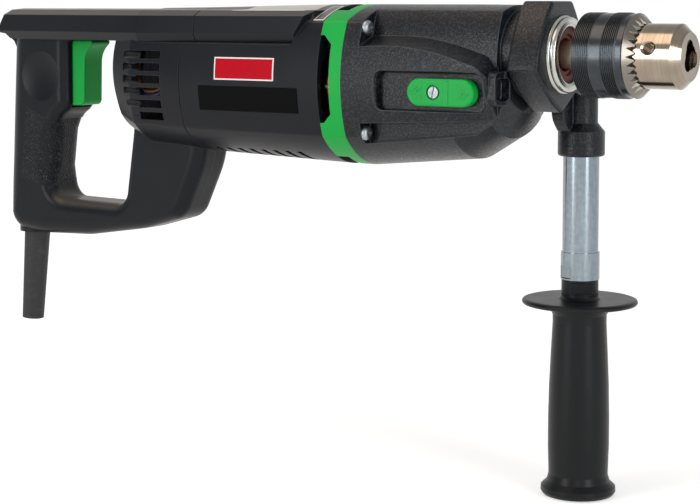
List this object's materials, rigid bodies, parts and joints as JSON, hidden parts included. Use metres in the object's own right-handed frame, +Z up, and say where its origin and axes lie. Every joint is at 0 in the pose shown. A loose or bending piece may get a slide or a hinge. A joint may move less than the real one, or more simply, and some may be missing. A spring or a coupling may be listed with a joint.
{
  "type": "hand drill",
  "caption": "Corded hand drill with a D handle and trigger, geared keyed chuck, sliding speed selector, air outlet ring and a swivelling clamp-on side handle.",
  "frame": {"origin": "on the spindle axis, half way along the chuck jaws' grip", "axes": "+X forward along the spindle, out of the chuck; +Z up; +Y to the tool's left"},
  "size_m": [0.4765, 0.1188, 0.281],
  "materials": {
    "black_plastic": "satin moulded nylon",
    "grained_black": "grained black coating on a casting",
    "grip_black": "satin moulded plastic",
    "green_plastic": "satin moulded plastic",
    "plate_black": "gloss black film",
    "badge_red": "gloss red film with a white edge",
    "black_rubber": "matt rubber",
    "seal_red": "matt rubber",
    "zinc_steel": "zinc-plated steel",
    "bright_steel": "turned steel",
    "dark_steel": "blued knurled steel",
    "gear_steel": "cut steel",
    "bronze": "sintered bronze",
    "copper": "copper",
    "iron": "laminated iron",
    "alloy": "cast aluminium",
    "carbon": "carbon",
    "lead_brown": "cable insulation",
    "lead_blue": "cable insulation"
  },
  "bodies": {
    "housing": {"motor_housing": "black_plastic", "handle_shell_right": "black_plastic", "handle_shell_left": "black_plastic", "handle_screws": "zinc_steel", "name_plate": "plate_black", "badge_plate": "badge_red", "switch_body": "black_plastic", "trigger_spring": "zinc_steel", "cord_sleeve": "black_rubber", "lead_brown": "lead_brown", "lead_blue": "lead_blue", "air_outlet_ring": "green_plastic", "gearbox_housing": "grained_black", "gearbox_screws": "zinc_steel", "gear_plate": "alloy", "selector_floor": "black_plastic", "collar": "bright_steel", "spindle_front_bearing": "bright_steel", "spindle_rear_bush": "bronze", "spindle_seal": "seal_red", "countershaft_bushes": "bronze", "armature_front_bearing": "bright_steel", "armature_rear_bearing": "bright_steel", "stator_core": "iron", "field_coils": "copper", "brush_holders": "bronze", "carbon_brushes": "carbon"},
    "trigger_body": {"trigger": "green_plastic"},
    "armature": {"armature_shaft": "gear_steel", "armature_core": "iron", "armature_winding": "copper", "commutator": "copper", "cooling_fan": "black_plastic"},
    "countershaft_body": {"countershaft": "gear_steel", "middle_gear": "gear_steel", "high_pinion": "gear_steel"},
    "spindle_body": {"spindle": "bright_steel", "chuck_body": "bright_steel", "chuck_screw": "gear_steel"},
    "low_wheel_body": {"low_wheel": "gear_steel"},
    "high_wheel_body": {"high_wheel": "gear_steel"},
    "dog_ring_body": {"dog_ring": "gear_steel"},
    "selector": {"selector_knob": "green_plastic", "selector_screw": "zinc_steel", "shift_fork": "gear_steel"},
    "sleeve_body": {"chuck_sleeve": "dark_steel", "chuck_nut": "gear_steel"},
    "jaw_1_body": {"jaw_1": "gear_steel"},
    "jaw_2_body": {"jaw_2": "gear_steel"},
    "jaw_3_body": {"jaw_3": "gear_steel"},
    "clamp_body": {"clamp_ring": "grip_black"},
    "washer_body": {"thrust_washer": "zinc_steel"},
    "side_grip_body": {"handle_stud": "zinc_steel", "extension_tube": "zinc_steel", "handle_ferrule": "zinc_steel", "side_grip": "grip_black"}
  },
  "joints": [
    {"name": "trigger_pull", "type": "slide", "parent": "housing", "child": "trigger_body", "axis": [-1, 0, 0], "range_m": [0, 0.0065], "stiffness_N_per_m": 900, "springref_m": -0.004, "deforming": ["trigger_spring"]},
    {"name": "spindle_spin", "type": "hinge", "parent": "housing", "child": "spindle_body", "pos_m": [0, 0, 0], "axis": [1, 0, 0], "continuous": true},
    {"name": "countershaft_spin", "type": "hinge", "parent": "housing", "child": "countershaft_body", "pos_m": [-0.13, 0.01877, -0.0124], "axis": [1, 0, 0], "continuous": true},
    {"name": "armature_spin", "type": "hinge", "parent": "housing", "child": "armature", "pos_m": [-0.24, 0, -0.02], "axis": [1, 0, 0], "continuous": true},
    {"name": "low_wheel_spin", "type": "hinge", "parent": "housing", "child": "low_wheel_body", "pos_m": [-0.107, 0, 0], "axis": [1, 0, 0], "continuous": true},
    {"name": "high_wheel_spin", "type": "hinge", "parent": "housing", "child": "high_wheel_body", "pos_m": [-0.137, 0, 0], "axis": [1, 0, 0], "continuous": true},
    {"name": "selector_slide", "type": "slide", "parent": "housing", "child": "selector", "axis": [1, 0, 0], "range_m": [-0.012, 0]},
    {"name": "dog_ring_slide", "type": "slide", "parent": "spindle_body", "child": "dog_ring_body", "axis": [1, 0, 0], "range_m": [-0.0121, 0.0001]},
    {"name": "chuck_sleeve_turn", "type": "hinge", "parent": "spindle_body", "child": "sleeve_body", "pos_m": [-0.03, 0, 0], "axis": [1, 0, 0], "range_deg": [-1120, 3154]},
    {"name": "jaw_1_slide", "type": "slide", "parent": "spindle_body", "child": "jaw_1_body", "axis": [0.9781, 0.0503, -0.2017], "range_m": [-0.0062, 0.0175]},
    {"name": "jaw_2_slide", "type": "slide", "parent": "spindle_body", "child": "jaw_2_body", "axis": [0.9781, 0.1496, 0.1444], "range_m": [-0.00625, 0.01755]},
    {"name": "jaw_3_slide", "type": "slide", "parent": "spindle_body", "child": "jaw_3_body", "axis": [0.9781, -0.1999, 0.0573], "range_m": [-0.00625, 0.01755]},
    {"name": "side_handle_swivel", "type": "hinge", "parent": "housing", "child": "clamp_body", "pos_m": [-0.069, 0, 0], "axis": [1, 0, 0], "continuous": true},
    {"name": "thrust_washer_slide", "type": "slide", "parent": "clamp_body", "child": "washer_body", "axis": [0, 0, -1], "range_m": [0, 0.003]},
    {"name": "side_grip_twist", "type": "hinge", "parent": "washer_body", "child": "side_grip_body", "pos_m": [-0.069, 0.0422, -0.15], "axis": [0, 0, 1], "range_deg": [-4, 724]}
  ],
  "couplings": [
    {"joint": "countershaft_spin", "follows": "spindle_spin", "ratio": -3},
    {"joint": "armature_spin", "follows": "spindle_spin", "ratio": 15},
    {"joint": "low_wheel_spin", "follows": "spindle_spin", "ratio": 1},
    {"joint": "high_wheel_spin", "follows": "spindle_spin", "ratio": 2},
    {"joint": "dog_ring_slide", "follows": "selector_slide", "ratio": 1},
    {"joint": "side_grip_twist", "follows": "thrust_washer_slide", "rad_per_m": 4188.8},
    {"joint": "chuck_sleeve_turn", "follows": "jaw_1_slide", "rad_per_m": 3141.6},
    {"joint": "jaw_2_slide", "follows": "jaw_1_slide", "ratio": 1},
    {"joint": "jaw_3_slide", "follows": "jaw_1_slide", "ratio": 1}
  ]
}
